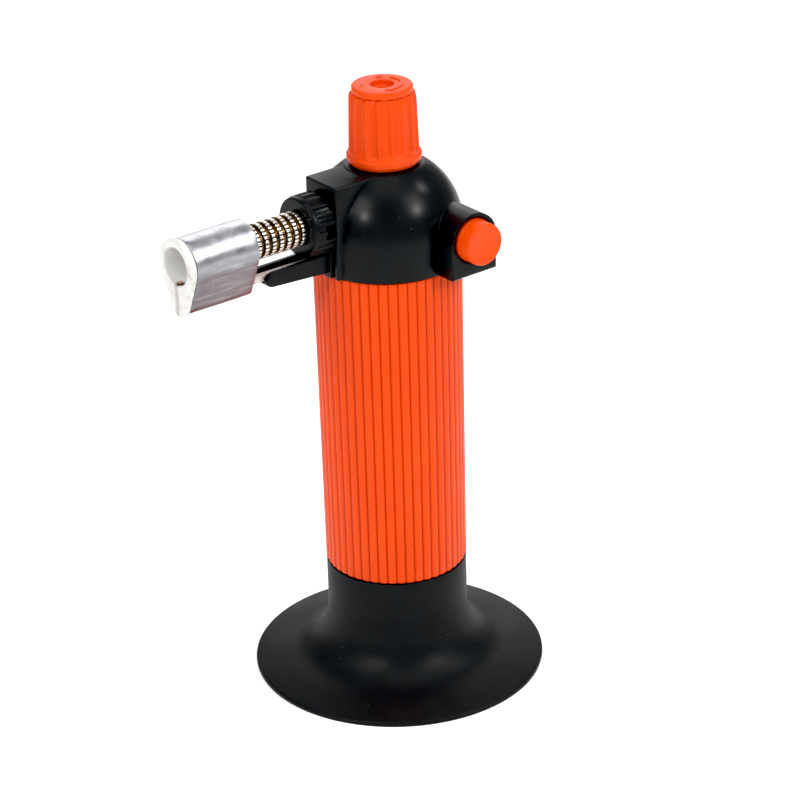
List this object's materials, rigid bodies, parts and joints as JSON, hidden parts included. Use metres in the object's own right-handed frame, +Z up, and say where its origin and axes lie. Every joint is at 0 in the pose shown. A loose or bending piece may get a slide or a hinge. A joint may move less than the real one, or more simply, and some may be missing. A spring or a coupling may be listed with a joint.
{
  "type": "butane torch",
  "caption": "Hand-held butane micro torch with a ribbed upright tank, side burner with ceramic nozzle, push-button igniter, gas knob, and a round lift-off stand.",
  "frame": {"origin": "on the tank's upright axis, at the bench under the stand", "axes": "+Z up the tank, +X the way the flame leaves the nozzle, +Y out of the ignition button"},
  "size_m": [0.1014, 0.0764, 0.1607],
  "materials": {
    "black_plastic": "moulded, faint sheen",
    "orange_plastic": "moulded, semi-matt",
    "seal_rubber": "soft",
    "brass": "turned",
    "knurled_metal": "knurled, plated, bright teeth",
    "steel": "drawn wire and pressed sheet",
    "filter_felt": "pressed felt",
    "clear_sleeve": "translucent soft tube",
    "aluminium": "satin, extruded",
    "white_ceramic": "unglazed, slightly sooted",
    "copper": "bare wire",
    "piezo_blue": "moulded",
    "piezo_grey": "sintered"
  },
  "bodies": {
    "stand": {"stand_base": "black_plastic"},
    "torch": {"fuel_tank": "orange_plastic", "tank_lid": "orange_plastic", "lid_seal": "seal_rubber", "refill_valve_body": "brass", "refill_gasket": "seal_rubber", "refill_spring": "steel", "head_housing": "black_plastic", "outlet_valve_body": "brass", "gland_seal": "seal_rubber", "valve_filter": "filter_felt", "gas_tube": "clear_sleeve", "gas_jet": "brass", "jet_holder": "brass", "burner_barrel": "knurled_metal", "flame_holder": "steel", "nozzle_shield": "aluminium", "ceramic_nozzle": "white_ceramic", "electrode_guide": "black_plastic", "electrode_tube": "clear_sleeve", "electrode_wire": "copper", "piezo_case": "piezo_blue", "piezo_crystal": "piezo_grey", "earth_lead": "copper"},
    "knob": {"gas_knob": "orange_plastic", "knob_cap": "orange_plastic", "valve_spindle": "brass"},
    "air_ring": {"air_ring": "black_plastic"},
    "button": {"ignition_button": "orange_plastic", "piezo_plunger": "black_plastic", "piezo_spring": "steel"},
    "refill_stem": {"refill_valve_stem": "brass"}
  },
  "joints": [
    {"name": "stand_release", "type": "slide", "parent": "stand", "child": "torch", "axis": [0, 0, 1], "range_m": [0, 0.024]},
    {"name": "gas_control", "type": "hinge", "parent": "torch", "child": "knob", "pos_m": [0, 0, 0.15], "axis": [0, 0, 1], "range_deg": [0, 270]},
    {"name": "air_control", "type": "hinge", "parent": "torch", "child": "air_ring", "pos_m": [0.024, 0, 0.1299], "axis": [1, 0, 0], "range_deg": [0, 90]},
    {"name": "ignition_press", "type": "slide", "parent": "torch", "child": "button", "axis": [0, -1, 0], "range_m": [0, 0.0038], "stiffness_N_per_m": 1500, "springref_m": -0.001},
    {"name": "refill_press", "type": "slide", "parent": "torch", "child": "refill_stem", "axis": [0, 0, 1], "range_m": [0, 0.002], "stiffness_N_per_m": 800, "springref_m": -0.001, "deforming": ["refill_spring"]}
  ]
}
